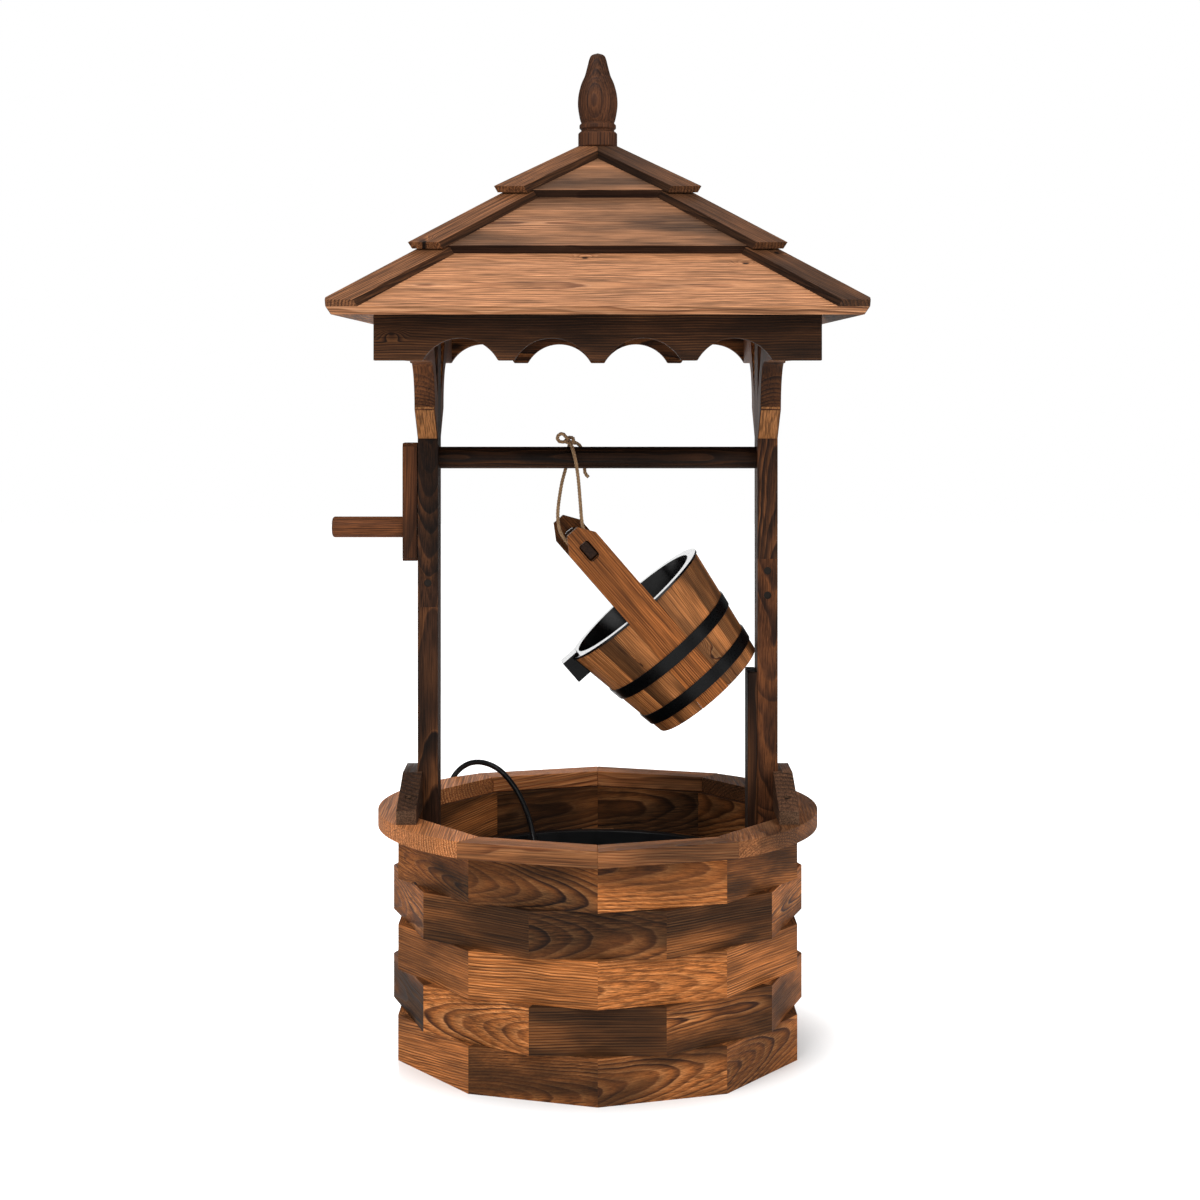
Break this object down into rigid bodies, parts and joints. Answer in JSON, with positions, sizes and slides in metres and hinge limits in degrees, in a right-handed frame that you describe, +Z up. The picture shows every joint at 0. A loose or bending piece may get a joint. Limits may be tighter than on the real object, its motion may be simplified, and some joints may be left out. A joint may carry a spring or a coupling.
{
  "type": "wishing well fountain",
  "caption": "Wooden wishing well fountain: ten-sided plank barrel with basin and pump, posts, tiered square roof, crank bar and a tilted stave bucket.",
  "frame": {"origin": "on the ground at the centre of the ten-sided barrel", "axes": "+Z up, -Y towards the viewer of the picture, -X towards the crank"},
  "size_m": [0.5855, 0.6318, 1.1383],
  "materials": {
    "fir_barrel_light": "burnt fir, satin",
    "fir_barrel_dark": "deeply burnt fir, satin",
    "fir_rim": "lightly burnt fir, satin",
    "fir_posts": "burnt fir, satin",
    "fir_framing": "burnt fir, sawn",
    "fir_roof": "lightly burnt fir, satin",
    "fir_batten": "burnt fir, satin",
    "fir_staves": "fir staves, satin",
    "fir_uprights": "fir, satin",
    "beech_dowel": "plain beech",
    "black_tub_plastic": "moulded, glossy",
    "pump_plastic": "moulded ABS",
    "rotor_ferrite": "moulded ferrite",
    "shaft_steel": "ground",
    "knob_plastic": "moulded ABS",
    "lead_pvc": "extruded PVC",
    "screw_zinc": "blackened zinc",
    "jute_rope": "twisted jute",
    "hoop_steel": "black painted strip"
  },
  "bodies": {
    "well": {"course_1": "fir_barrel_light", "course_2": "fir_barrel_dark", "course_3": "fir_barrel_light", "course_4": "fir_barrel_dark", "course_5": "fir_barrel_light", "course_dowels": "beech_dowel", "rim_planks": "fir_rim", "rim_side_left": "fir_rim", "rim_side_right": "fir_rim", "basin": "black_tub_plastic", "basin_cleats": "fir_framing", "pump_housing": "pump_plastic", "pump_cover": "pump_plastic", "pump_shaft": "shaft_steel", "pump_feet": "pump_plastic", "lead_gland": "lead_pvc", "pump_lead": "lead_pvc", "pump_lead_coil": "lead_pvc", "pump_lead_plug": "lead_pvc", "post_upper_left": "fir_posts", "post_lower_left": "fir_posts", "post_upper_right": "fir_posts", "post_lower_right": "fir_posts", "frame_screws": "screw_zinc", "cleat_left": "fir_posts", "cleat_right": "fir_posts", "riser_strip": "fir_posts", "brace_front_left": "fir_posts", "brace_front_right": "fir_posts", "brace_back_left": "fir_posts", "brace_back_right": "fir_posts", "fascia_front": "fir_posts", "fascia_back": "fir_posts", "fascia_left": "fir_posts", "fascia_right": "fir_posts", "roof_bearers": "fir_framing", "hip_rafters": "fir_framing", "king_block": "fir_framing", "roof_boards_front": "fir_roof", "roof_boards_back": "fir_roof", "roof_boards_left": "fir_roof", "roof_boards_right": "fir_roof", "hip_battens_front": "fir_batten", "hip_battens_back": "fir_batten", "finial": "fir_posts", "finial_screw": "beech_dowel"},
    "crank": {"crossbar": "fir_posts", "crank_arm": "fir_posts", "crank_peg": "fir_posts", "crank_screw": "screw_zinc"},
    "bucket": {"rope_sling": "jute_rope", "bucket_staves": "fir_staves", "bucket_uprights": "fir_uprights", "bucket_bottom": "fir_staves", "bucket_hoops": "hoop_steel", "bucket_liner": "black_tub_plastic", "bucket_spout": "black_tub_plastic", "bucket_crosspiece": "fir_uprights"},
    "rotor": {"pump_rotor": "rotor_ferrite"},
    "flow_knob": {"pump_flow_knob": "knob_plastic"}
  },
  "joints": [
    {"name": "crank_turn", "type": "hinge", "parent": "well", "child": "crank", "pos_m": [0, 0, 0.6724], "axis": [1, 0, 0], "continuous": true},
    {"name": "bucket_swing", "type": "hinge", "parent": "well", "child": "bucket", "pos_m": [0, 0, 0.6724], "axis": [1, 0, 0], "range_deg": [-10, 10]},
    {"name": "rotor_spin", "type": "hinge", "parent": "well", "child": "rotor", "pos_m": [-0.04, 0.06, 0.076], "axis": [0, 1, 0], "continuous": true},
    {"name": "knob_turn", "type": "hinge", "parent": "well", "child": "flow_knob", "pos_m": [-0.012, 0.085, 0.105], "axis": [0, 0, 1], "range_deg": [0, 90]}
  ]
}
